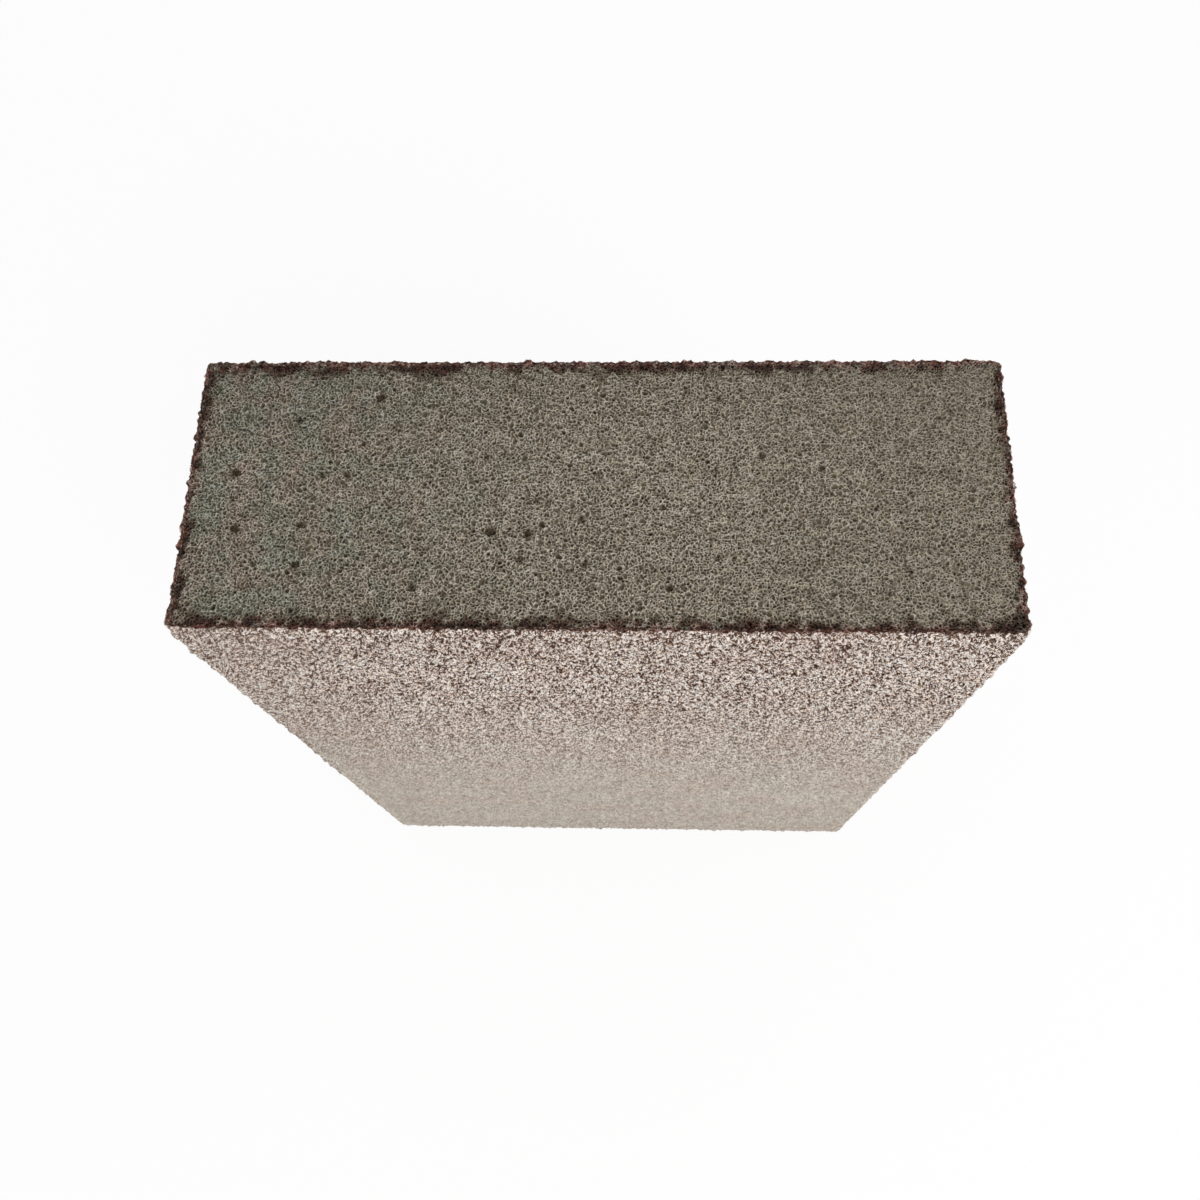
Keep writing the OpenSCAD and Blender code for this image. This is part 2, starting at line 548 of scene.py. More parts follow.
def pore_depth(x, y, end):
    """Depth of the solid core's own open pores at each point of an end, found by sight lines along Z."""
    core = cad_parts["foam_core"]
    tree = BVHTree.FromObject(core, bpy.context.evaluated_depsgraph_get())
    plane = cad_high.z if end > 0 else cad_low.z
    start = plane + end * SIGHT_START
    way = Vector((0, 0, -end))
    depth = np.zeros(x.size)
    for number, (px, py) in enumerate(zip(x.ravel(), y.ravel())):
        hit = tree.ray_cast(Vector((px, py, start)), way)[0]
        if hit is not None:
            depth[number] = (plane - hit.z) * end
    return depth.reshape(x.shape)


def end_relief(x, y, end, cells, rim, with_pores):
    """The cut surface against the end's plane, never above it."""
    seed = cells.seed + (0 if end > 0 else LOWER_END_SEED)
    cut = PackedBubbles(cells.cell, seed).cut(x, y)
    flat = np.stack([x, y, np.zeros(x.shape)], axis=-1)

    # Ribs, and cells with whole or burst floors
    ribbed = 1 - smooth_step(RIB_CREST * cells.rib, cells.rib, cut.rib)
    rib_height = smooth_step(0, 1, cut.rib_draw)
    burst = smooth_step(cells.burst_rim, 2 * cells.burst_rim, cut.floor_edge)
    burst = np.where(cut.floor_draw < cells.burst_share, burst, 0)
    floor = np.clip(cut.floor, cells.shallowest, cells.deepest_floor)
    beyond = np.clip(cut.beyond, cells.deepest_floor, cells.deepest)
    depth = blend(burst, floor, beyond)
    # Deeper floors, and what shows through burst ones, are painted darker as shade
    tone = blend(floor / cells.deepest_floor, FLOOR_TONE, DEEP_FLOOR_TONE)
    tone = blend(burst, tone, BURST_TONE)

    # Blown cells have a smooth floor and a rib of their own
    bowl, bowl_tone, inside = blown_cells(x, y, cells, seed + BLOWN_SEED)
    blown = smooth_step(0, cells.step, inside)
    depth = blend(blown, depth, bowl)
    tone = blend(blown, tone, bowl_tone)
    mouth = 1 - smooth_step(RIB_CREST * cells.rib, cells.rib, np.abs(inside))
    ribbed = np.maximum(blend(blown, ribbed, 0), mouth)

    # Cells in the core's own pores lie deeper, ribs and all
    sunk = np.zeros(x.shape)
    if with_pores:
        sunk = np.maximum(pore_depth(cut.x, cut.y, end) - cells.pore_rim, 0)
    # The highest ribs are painted brightest as light, and sunk pores darker as shade
    tone = blend(ribbed, tone, blend(rib_height, DULL_RIB_TONE, BRIGHT_RIB_TONE))
    tone = tone * blend(smooth_step(0, cells.pore_rim / 2, sunk), 1, PORE_SHADE_TONE)
    tone = tone + SLOW_TONE * random_waves(flat, SLOW_TONE_WAVE, seed + SLOW_TONE_SEED)

    # Resin soaks in from the long sides, further along the hollows than along the ribs
    inset = rim_distance(x, y, SOAK_STRETCH)
    bays = rim_bays(x, y, end, rim)
    ribs_edge = rim.ribs + rim.ribs_stray * bays + rim.cell_stray * (2 * cut.rib_draw - 1)
    hollows_edge = rim.hollows + rim.hollows_stray * bays + rim.cell_stray * (2 * cut.floor_draw - 1)
    edge = blend(ribbed, hollows_edge, ribs_edge)
    soak = smooth_step(-rim.edge, rim.edge, edge - inset)
    tone = tone * blend(soak, 1, pool_tone(bays))

    # The foam next to the resin lies lower, and is painted darker as shade
    shade_edge = rim.shade + rim.shade_stray * bays
    shade_inset = rim_distance(x, y, SHADE_STRETCH)
    shade = smooth_step(-rim.shade_edge, rim.shade_edge, shade_edge - shade_inset)
    tone = tone * blend(shade * (1 - soak), 1, SHADE_TONE)
    drop = cells.torn * (1 - rib_height) + sunk + rim.sink * shade
    drop = drop + depth * (1 - ribbed) * blend(soak, 1, rim.deeper)
    return EndRelief(-drop, tone, soak)


def end_slab(name, x, y, cells, rim, with_pores):
    """A closed piece that runs from end to end, over a grid of points of the cross-section."""
    columns, rows = x.shape
    mesh = PieceMesh()
    grids = []
    for end, plane in ((1, cad_high.z), (-1, cad_low.z)):
        relief = end_relief(x, y, end, cells, rim, with_pores)
        places = np.stack([x, y, plane + end * relief.height], axis=-1)
        grids.append(mesh.add_points(places, relief.tone, relief.soak))
    upper, lower = grids

    # The map gives the ends their true shape, and about a pixel to each square
    wide = min(columns - 1, BAKE_ROOM)
    high = max(wide / (columns - 1) * (rows - 1), LEAST_END)
    upper_map = map_grid(columns, rows, MARGIN, MARGIN, wide, high)
    lower_map = map_grid(columns, rows, MARGIN, 2 * MARGIN + high, wide, high)
    mesh.add_faces(quads(upper), quads(upper_map))
    mesh.add_faces(quads(lower)[:, ::-1], quads(lower_map)[:, ::-1])

    def ring(grid):
        return np.concatenate([grid[:, 0], grid[-1, 1:], grid[-2::-1, -1], grid[0, -2::-1]])

    wall = np.stack([ring(lower), ring(upper)], axis=1)
    wall_low = 3 * MARGIN + 2 * high
    wall_map = map_grid(len(wall), 2, MARGIN, wall_low, BAKE_ROOM, BAKE_PIXELS - MARGIN - wall_low)
    mesh.add_faces(quads(wall), quads(wall_map))
    return mesh.build(name)


# Coats on the long sides

# Cosine and sine of each side's turn about Z
QUARTER_TURNS = ((1, 0), (0, 1), (-1, 0), (0, -1))


def turned(side, points):
    """Points of a side that faces -Y, turned about Z to where the side lies."""
    x, y = points[..., 0], points[..., 1]
    cos, sin = QUARTER_TURNS[SIDES.index(side)]
    out = points.copy()
    out[..., 0] = cos * x - sin * y
    out[..., 1] = sin * x + cos * y
    return out


def side_sizes(side):
    """The width of a long side, and how far it lies from the middle."""
    if side in ("front", "back"):
        return BLOCK.x, BLOCK.y / 2
    return BLOCK.y, BLOCK.x / 2


def side_length(side, radius):
    """Length of a side's outline between the middles of its two rounded corners."""
    return side_sizes(side)[0] - 2 * radius + math.pi * radius / 2


def side_outline(side, along, radius):
    """Points and outward directions on a side that faces -Y, at lengths from its first corner's middle."""
    span, out = side_sizes(side)
    length = side_length(side, radius)
    arc = math.pi * radius / 4
    first = np.clip((arc - along) / radius, 0, math.pi / 4)
    last = np.clip((along - (length - arc)) / radius, 0, math.pi / 4)
    lean = last - first
    flat = np.clip(along - arc, 0, span - 2 * radius) - (span / 2 - radius)
    normal = np.stack([np.sin(lean), -np.cos(lean), np.zeros_like(lean)], axis=-1)
    centre = np.stack([flat, np.full_like(flat, radius - out), np.zeros_like(flat)], axis=-1)
    return centre + normal * radius, normal


class CornerDraws:
    """Random numbers for the four long corners, so that two sides that meet there agree."""

    def __init__(self, rows, seed):
        self.draws = np.random.default_rng(seed).uniform(size=(len(SIDES), rows, 2))

    def ends(self, side):
        number = SIDES.index(side)
        return self.draws[number], self.draws[(number + 1) % len(SIDES)]


# How one kind of coat is made: the spacing of its points, its seed, its layers of points at an edge, its
# depth under the side, how far it ends short of the cut ends, and a point's height and tone from its draw
CoatShape = namedtuple("CoatShape", "spacing seed layers inner_depth short height_of tone_of")

# How far a point strays from its place on the side, in spacings
POINT_STRAY = 0.36
# How far the outside stays under the upper cut
UPPER_SINK = 0.02 * MM
# Share of a coat's depth that a gap in it takes up at most
DEEPEST_GAP = 0.85
# Height of a lobe over the valleys, in swells
LOBE_HEIGHT = 1.4
# How much brighter a clump is, and the grain along a cut end
CLUMP_TONE = 0.11
EDGE_TONE = 0.05

# Depth of a cut edge's points under the cut, and of its points at a long corner
CUT_DIP = (0.02 * MM, 0.25 * MM)
MITRE_DIP = 0.1 * MM
# Tones of a cut edge, the share of its points that are bare grain, and how soaked those look
CUT_TONE = (0.03, 0.97)
CUT_FLECKS = 0.19
FLECK_SOAK = 0.4
# How far the dark bays of the rim are evened out on a cut edge, and its tone where they are
CUT_EVEN = 0.6
CUT_SHADE = 0.74


class CoatShell:
    """A closed coat on one long side: a rough outside, bare edges at both ends and a plain inside."""

    def __init__(self, side, coats, rim, shape):
        self.side = side
        self.coats = coats
        self.rim = rim
        self.shape = shape
        self.length = side_length(side, coats.corner_radius)
        self.columns = round(self.length / shape.spacing) + 1
        self.rows = round(BLOCK.z / shape.spacing) + 1
        self.low = cad_low.z + shape.short
        self.high = cad_high.z - shape.short
        self.random = np.random.default_rng(shape.seed + SIDES.index(side))
        self.mesh = PieceMesh()
        self.place_outside()
        self.place_edges()
        self.cover_outside()
        self.cover_edges()
        self.cover_inside()

    def place_outside(self):
        """Scatters the points of the outside and raises each to its height."""
        coats, shape = self.coats, self.shape
        grid = (self.columns, self.rows)
        draws = self.random.uniform(size=(*grid, 2))
        draws[0], draws[-1] = CornerDraws(self.rows, shape.seed + CORNER_SEED).ends(self.side)
        self.along_stray = self.random.uniform(-POINT_STRAY, POINT_STRAY, grid) * shape.spacing
        self.along_stray[[0, -1]] = 0
        along = np.linspace(0, self.length, self.columns)[:, None] + self.along_stray
        z_stray = (2 * draws[..., 1] - 1) * POINT_STRAY * shape.spacing
        z = np.linspace(self.low, self.high, self.rows) + z_stray
        z = np.clip(z, self.low, self.high - UPPER_SINK)
        z[:, 0] = self.low
        places, normals = side_outline(self.side, along, coats.corner_radius)
        places[..., 2] = z

        # Rounded lobes with sharp valleys between them, and clumps of grain
        true_places = turned(self.side, places)
        swells = random_waves(true_places, coats.swell_wave, coats.seed + LOBE_SEED)
        lobes = LOBE_HEIGHT * np.abs(swells) - 1
        clumps = random_waves(true_places, coats.clump_wave, coats.seed + CLUMP_SEED)
        inset = np.minimum(z - cad_low.z, cad_high.z - z)
        ragged = blend(smooth_step(0, coats.ragged, inset), coats.ragged_rise, 1)
        slow = coats.swell * ragged * lobes + coats.clump * clumps

        # The grain is rubbed down along the cut ends, where the sides are drawn in
        rubbed = blend(smooth_step(0, coats.rubbed, inset), coats.rubbed_share, 1)
        rough = slow + rubbed * shape.height_of(draws[..., 0])
        heights = np.maximum(rough, -DEEPEST_GAP * shape.inner_depth)
        heights += coats.flare * np.sin(np.clip(inset / coats.flare_length, 0, 1) * math.pi / 2)
        tones = shape.tone_of(draws[..., 0], self.random) + CLUMP_TONE * clumps
        tones += EDGE_TONE * (1 - smooth_step(0, coats.flare_length, inset))
        soaks = np.zeros(grid)
        soaks[:, [0, -1]] = 1
        self.z = z
        self.outside = places + normals * heights[..., None]
        self.outer = self.mesh.add_points(turned(self.side, self.outside), tones, soaks)

    def place_edges(self):
        """Adds the points of the four edges, from the outside in to an even depth under the side."""
        evenly = np.linspace(0, self.length, self.columns)
        places, normals = side_outline(self.side, evenly, self.coats.corner_radius)
        self.inner = places - normals * self.shape.inner_depth
        self.top = self.cut_edge(-1, self.high, 1)
        self.bottom = self.cut_edge(0, self.low, -1)
        self.first = self.mitred_edge(0)
        self.last = self.mitred_edge(-1)

    def layers_between(self, outside, inner):
        """One row of points for each layer, the last of them on the inside."""
        for layer in range(1, self.shape.layers + 1):
            share = layer / self.shape.layers
            yield outside * (1 - share) + inner * share

    def cut_edge(self, row, plane, end):
        """Points across a cut end, where the resin that beds the grain shows."""
        grid = [self.outer[:, row]]
        for edge in self.layers_between(self.outside[:, row], self.inner):
            dip = self.random.uniform(*CUT_DIP, self.columns)
            dip[[0, -1]] = MITRE_DIP
            edge[:, 2] = plane - end * dip
            edge = turned(self.side, edge)
            pool = pool_tone(rim_bays(edge[:, 0], edge[:, 1], end, self.rim))
            tone = self.random.uniform(*CUT_TONE, self.columns) * blend(CUT_EVEN, pool, CUT_SHADE)
            soak = np.where(self.random.uniform(size=self.columns) < CUT_FLECKS, FLECK_SOAK, 1)
            grid.append(self.mesh.add_points(edge, tone, soak))
        return np.stack(grid, axis=1)

    def mitred_edge(self, column):
        """Points along a long corner, where the coat meets that of the next side."""
        grid = [self.outer[column]]
        layers = self.layers_between(self.outside[column], self.inner[column])
        for layer, edge in enumerate(layers, 1):
            edge[:, 2] = self.z[column]
            numbers = np.empty(self.rows, int)
            numbers[0] = self.bottom[column, layer]
            numbers[-1] = self.top[column, layer]
            numbers[1:-1] = self.mesh.add_points(turned(self.side, edge[1:-1]))
            grid.append(numbers)
        return np.stack(grid)

    def cover_outside(self):
        """Cuts the outside into triangles along diagonals picked at random."""
        self.map_wide = self.length / BLOCK.z * BAKE_ROOM
        outer_map = map_grid(self.columns, self.rows, MARGIN, MARGIN, self.map_wide, BAKE_ROOM)
        outer_map[..., 0] += self.along_stray / BLOCK.z * BAKE_ROOM / BAKE_PIXELS
        outer_map[..., 1] = (MARGIN + self.z / BLOCK.z * BAKE_ROOM) / BAKE_PIXELS
        squares, square_map = quads(self.outer), quads(outer_map)
        flip = self.random.uniform(size=len(squares)) < 0.5
        for turn in (0, 1):
            picked = flip == turn
            for triangle in ((0, 1, 2), (0, 2, 3)):
                order = [(corner + turn) % 4 for corner in triangle]
                self.mesh.add_faces(squares[picked][:, order], square_map[picked][:, order])

    def cover_edges(self):
        """Covers the two cut edges and the two mitred ones, beside the outside on the bake map."""
        layers = self.shape.layers
        left = self.map_wide + 3 * MARGIN
        wide = MARGIN * layers
        high = BAKE_PIXELS / 2 - 3 * MARGIN
        for number, (grid, step) in enumerate(((self.top, 1), (self.bottom, -1))):
            low = MARGIN + (high + 3 * MARGIN) * number
            cut_map = map_grid(layers + 1, self.columns, left, low, wide, high).swapaxes(0, 1)
            self.mesh.add_faces(quads(grid)[:, ::step], quads(cut_map)[:, ::step])
        for grid, step in ((self.first, -1), (self.last, 1)):
            left += wide + MARGIN
            mitre_map = map_grid(layers + 1, self.rows, left, MARGIN, wide, BAKE_ROOM)
            self.mesh.add_faces(quads(grid)[:, ::step], quads(mitre_map)[:, ::step])
        self.inside_left = left + wide + MARGIN

    def cover_inside(self):
        """Closes the inside with a plain fan from its middle to the edges."""
        border = np.concatenate(
            [self.bottom[:, -1], self.last[-1, 1:], self.top[-2::-1, -1], self.first[-1, -2:0:-1]]
        )
        middle = np.array([[0, self.inner[self.columns // 2, 1], BLOCK.z / 2]])
        hub = self.mesh.add_points(turned(self.side, middle))[0]
        fan = np.stack([np.full(len(border), hub), np.roll(border, -1), border], axis=1)
        turned_back = SIDES[-SIDES.index(self.side) % len(SIDES)]
        local = turned(turned_back, np.concatenate(self.mesh.points))
        span = side_sizes(self.side)[0]
        scale = min(BAKE_PIXELS - MARGIN - self.inside_left, MOST_INSIDE) / span
        across = self.inside_left + (local[fan, 0] + span / 2) * scale
        up = MARGIN + local[fan, 2] * scale
        self.mesh.add_faces(fan, np.stack([across, up], axis=-1) / BAKE_PIXELS)


# Finishes

# Widths of the blotches of each finish, and of the grit that roughens it
FOAM_PATCH = 2.6 * MM
FOAM_HUE = 0.35 * MM
FOAM_GRIT = 0.12 * MM
RESIN_PATCH = 1.2 * MM
FINER_GRAIN = 0.085 * MM
GRAIN_HUE = 0.22 * MM
GRAIN_PATCH = 5 * MM
GRAIN_GRIT = 0.1 * MM
DUST_PATCH = 0.7 * MM
FILM_PATCH = 0.8 * MM
FILM_GRIT = 0.25 * MM
# How far blotches of dust are drawn out along Z
DUST_STRETCH = 2

# Noise at which a blotch begins and at which it is full: with a sharper edge, a softer one, and scarce
SHARP = (0.35, 0.65)
SOFT = (0.3, 0.7)
SCARCE = (0.4, 0.7)

# Tones of the colours of bare foam, soaked foam and grain, from the darkest to the palest. They carry
# painted shade in hollows, pores and gaps, and painted light on ribs and tips
FOAM_TONES = (0.0, 0.25, 0.5, 1.0)
SOAKED_TONES = (0.18, 0.5, 1.0)
GRAIN_TONES = (0.275, 0.455, 0.61, 0.805)
# How much finer grains change the tone
FINER_TONE = 0.65

# Where along X the foam's tones begin to even out and are most even, and by what share they are
EVEN_FOAM = (0, 35 * MM)
EVEN_FOAM_SHARE = 0.35
# Where along X the foam's patches of hue begin and are strongest, and along Y where the painted shade
# towards the back begins and is full
PATCHY_FOAM = (10 * MM, -36 * MM)
BACK_SHADE = (2 * MM, 13 * MM)

# Where along X grain begins to be worn and is worn most, and the share of wear there
WORN_LEFT = (-14 * MM, -36 * MM)
WORN_LEFT_SHARE = 0.2
# The same for the distance from mid-length
WORN_ENDS = (0.38 * BLOCK.z, 0.47 * BLOCK.z)
WORN_ENDS_SHARE = 0.08

# Where along Y the front side begins, and where along Z its painted light from the floor begins and is
# strongest
FRONT = (-0.46 * BLOCK.y, -0.5 * BLOCK.y)
FRONT_FLOOR_LIGHT = (0.88 * BLOCK.z, 0.24 * BLOCK.z)
# Shares of the pale dust colour: where it is strongest on the front side, as painted light from the floor,
# and on the other sides, as dust
FRONT_FLOOR_LIGHT_SHARE = 0.7
OTHER_DUST_SHARE = 0.3


class Finish:
    """A new material and short ways to add its nodes."""

    def __init__(self, name):
        self.material = bpy.data.materials.new(name)
        self.material.use_nodes = True
        self.tree = self.material.node_tree
        self.shader = self.tree.nodes["Principled BSDF"]
        self.place = self.tree.nodes.new("ShaderNodeTexCoord").outputs["Object"]

    def link(self, value, socket):
        """Joins an output to an input, or sets the input to a plain value."""
        if isinstance(value, bpy.types.NodeSocket):
            self.tree.links.new(value, socket)
        else:
            socket.default_value = value

    def maths(self, operation, first, second=0.0):
        node = self.tree.nodes.new("ShaderNodeMath")
        node.operation = operation
        self.link(first, node.inputs[0])
        self.link(second, node.inputs[1])
        return node.outputs[0]

    def axes(self):
        node = self.tree.nodes.new("ShaderNodeSeparateXYZ")
        self.link(self.place, node.inputs[0])
        return node.outputs

    def noise(self, width, detail=2, drawn_out=1):
        """Noise from 0 to 1 with blotches of about that width, drawn out along Z."""
        squeezed = self.tree.nodes.new("ShaderNodeVectorMath")
        squeezed.operation = "MULTIPLY"
        squeezed.inputs[1].default_value = (1, 1, 1 / drawn_out)
        self.link(self.place, squeezed.inputs[0])
        node = self.tree.nodes.new("ShaderNodeTexNoise")
        self.link(squeezed.outputs["Vector"], node.inputs["Vector"])
        node.inputs["Scale"].default_value = 1 / width
        node.inputs["Detail"].default_value = detail
        return node.outputs["Fac"]

    def fade(self, value, low, high):
        """A smooth rise from 0 at the low value to 1 at the high one."""
        node = self.tree.nodes.new("ShaderNodeMapRange")
        node.interpolation_type = "SMOOTHSTEP"
        self.link(value, node.inputs["Value"])
        node.inputs["From Min"].default_value = low
        node.inputs["From Max"].default_value = high
        return node.outputs["Result"]

    def part_fade(self, value, limits, share):
        """A smooth rise from 0 at the first limit to the share at the second."""
        return self.maths("MULTIPLY", self.fade(value, *limits), share)

    def blotches(self, width, limits, detail, drawn_out=1):
        """Blotches of 1 among 0, where noise of that width passes the limits."""
        return self.fade(self.noise(width, detail, drawn_out), *limits)

    def ramp(self, value, places, colours):
        """A colour picked along a row of colours, each with its place."""
        node = self.tree.nodes.new("ShaderNodeValToRGB")
        elements = node.color_ramp.elements
        while len(elements) < len(places):
            elements.new(places[1])
        for element, place, colour in zip(elements, places, colours):
            element.position = place
            element.color = (*colour, 1)
        self.link(value, node.inputs["Fac"])
        return node.outputs["Color"]

    def mix(self, share, first, second, mode="MIX"):
        node = self.tree.nodes.new("ShaderNodeMix")
        node.data_type = "RGBA"
        node.blend_type = mode
        inputs = [socket for socket in node.inputs if socket.type == "RGBA"]
        self.link(share, node.inputs["Factor"])
        for value, socket in zip((first, second), inputs):
            self.link(value if isinstance(value, bpy.types.NodeSocket) else (*value, 1), socket)
        return next(socket for socket in node.outputs if socket.type == "RGBA")

    def tinted(self, colour, tint, share=1.0):
        """The colour times a share of the tint."""
        return self.mix(share, colour, tint, "MULTIPLY")

    def point_value(self, name):
        """A value that the mesh keeps at each point."""
        node = self.tree.nodes.new("ShaderNodeAttribute")
        node.attribute_name = name
        return node.outputs["Fac"]

    def grit(self, width, height, strength):
        """Roughens the surface with fine noise."""
        node = self.tree.nodes.new("ShaderNodeBump")
        node.inputs["Distance"].default_value = height
        node.inputs["Strength"].default_value = strength
        self.link(self.noise(width), node.inputs["Height"])
        self.tree.links.new(node.outputs["Normal"], self.shader.inputs["Normal"])

    def soaked(self, bare, colours, tint=(1, 1, 1)):
        """Mixes the bare colour with that of resin-soaked foam, as the mesh says."""
        # The soaked ribs and hollows are painted lighter and darker by depth, as light and shade
        resin = self.ramp(
            self.point_value("tone"),
            SOAKED_TONES,
            (colours.soaked_hollow, colours.soaked, colours.soaked_rib),
        )
        # The resin's red fades to brown in patches
        brown = self.blotches(RESIN_PATCH, SHARP, detail=2)
        resin = self.tinted(resin, colours.brown_resin, brown)
        resin = self.tinted(resin, tint)
        return self.mix(self.point_value("soak"), bare, resin)

    def surface(self, colour, roughness, specular):
        self.link(colour, self.shader.inputs["Base Color"])
        self.shader.inputs["Roughness"].default_value = roughness
        self.shader.inputs["Specular IOR Level"].default_value = specular


def end_colour(finish, colours):
    """Colour of a cut end: pale ribs, darker floors and dark pores as painted light and shade, with cooler
    and warmer patches.
    """
    foam = finish.ramp(
        finish.point_value("tone"),
        FOAM_TONES,
        (colours.pore, colours.hollow, colours.foam, colours.rib),
    )
    # Tones are more even towards the right side, and patches are stronger towards the left one
    x, y, _ = finish.axes()
    foam = finish.mix(finish.part_fade(x, EVEN_FOAM, EVEN_FOAM_SHARE), foam, colours.foam)
    patch = finish.blotches(FOAM_PATCH, SHARP, detail=3)
    tint = finish.mix(patch, colours.green_foam, colours.pink_foam)
    foam = finish.tinted(foam, tint, finish.fade(x, *PATCHY_FOAM))
    # Cells differ in hue one by one, and the back is painted darker as shade
    hue = finish.blotches(FOAM_HUE, SHARP, detail=1)
    foam = finish.tinted(foam, finish.mix(hue, colours.cool_foam, colours.warm_foam))
    foam = finish.tinted(foam, colours.back_shade, finish.fade(y, *BACK_SHADE))
    return finish.soaked(foam, colours)


def foam_finish(colours):
    finish = Finish("open_cell_foam")
    finish.surface(end_colour(finish, colours), roughness=0.92, specular=0.2)
    finish.grit(FOAM_GRIT, height=0.02 * MM, strength=0.4)
    return finish.material


def soaked_finish(colours):
    finish = Finish("resin_soaked_foam")
    finish.surface(end_colour(finish, colours), roughness=0.85, specular=0.06)
    finish.grit(FOAM_GRIT, height=0.02 * MM, strength=0.5)
    return finish.material


def grain_finish(colours):
    finish = Finish("abrasive_grain")
    # Each point of the mesh holds several finer grains
    finer = finish.blotches(FINER_GRAIN, SOFT, detail=0)
    finer = finish.maths("MULTIPLY", finish.maths("SUBTRACT", finer, 0.5), FINER_TONE)
    # The ramp turns height into colour: the grain's own colours with painted shade in the gaps and a
    # painted highlight on the tips
    grain = finish.ramp(
        finish.maths("ADD", finish.point_value("tone"), finer),
        GRAIN_TONES,
        (colours.gap, colours.grain_dark, colours.grain, colours.grain_pale),
    )
    # Grains differ in hue one by one
    hue = finish.blotches(GRAIN_HUE, SHARP, detail=1)
    grain = finish.tinted(grain, finish.mix(hue, colours.grain_cool, colours.grain_warm))
    # Grain is worn more even towards the left side and along the cut ends
    x, y, z = finish.axes()
    off_middle = finish.maths("ABSOLUTE", finish.maths("SUBTRACT", z, BLOCK.z / 2))
    worn_left = finish.part_fade(x, WORN_LEFT, WORN_LEFT_SHARE)
    worn_ends = finish.part_fade(off_middle, WORN_ENDS, WORN_ENDS_SHARE)
    for worn in (worn_left, worn_ends):
        grain = finish.mix(worn, grain, colours.worn_grain)
    # Pale blotches lie over the grain: stronger towards the lower end on the front side, as painted light
    # from the floor that also evens the grain out, and evenly on the others, as dust
    patch = finish.blotches(DUST_PATCH, SOFT, detail=1, drawn_out=DUST_STRETCH)
    dust = finish.mix(patch, colours.dust_low, colours.dust)
    front = finish.fade(y, *FRONT)
    lit_from_floor = finish.maths("MULTIPLY", front, finish.part_fade(z, FRONT_FLOOR_LIGHT, FRONT_FLOOR_LIGHT_SHARE))
    even = finish.maths("MULTIPLY", finish.maths("SUBTRACT", 1, front), OTHER_DUST_SHARE)
    grain = finish.mix(finish.maths("ADD", lit_from_floor, even), grain, dust)
    # Some patches are warmer
    pink = finish.blotches(GRAIN_PATCH, SCARCE, detail=3)
    grain = finish.tinted(grain, colours.grain_pink, pink)
    finish.surface(finish.soaked(grain, colours, colours.red_resin), roughness=0.7, specular=0.1)
    finish.grit(GRAIN_GRIT, height=0.02 * MM, strength=0.5)
    return finish.material


def film_finish(colours):
    finish = Finish("resin_film")
    patch = finish.blotches(FILM_PATCH, SOFT, detail=3)
    film = finish.mix(patch, colours.gap, colours.grain_dark)
    finish.surface(finish.soaked(film, colours), roughness=0.5, specular=0.25)
    finish.grit(FILM_GRIT, height=0.03 * MM, strength=0.5)
    return finish.material


def seen_rays(tree):
    """A value that is 1 on rays from the camera, also by way of a mirror or glass, and 0 on others."""
    path = tree.nodes.new("ShaderNodeLightPath")
    seen = path.outputs["Is Camera Ray"]
    for name in ("Is Glossy Ray", "Is Transmission Ray"):
        either = tree.nodes.new("ShaderNodeMath")
        either.operation = "MAXIMUM"
        tree.links.new(seen, either.inputs[0])
        tree.links.new(path.outputs[name], either.inputs[1])
        seen = either.outputs[0]
    return seen


# Operators


def seat(piece, material, node):
    """Gives a piece its finish and its body, and hides the solid that it stands for."""
    piece.data.materials.append(material)
    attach(piece, BODY)
    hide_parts(node)


def lay_coats(scene, slot, material, shape):
    """Makes one kind of coat on all four long sides."""
    for side in SIDES:
        node = f"{side}_{slot}"
        shell = CoatShell(side, scene.sanding_block_coats, scene.sanding_block_rim, shape)
        seat(shell.mesh.build(f"{node}_relief"), material, node)


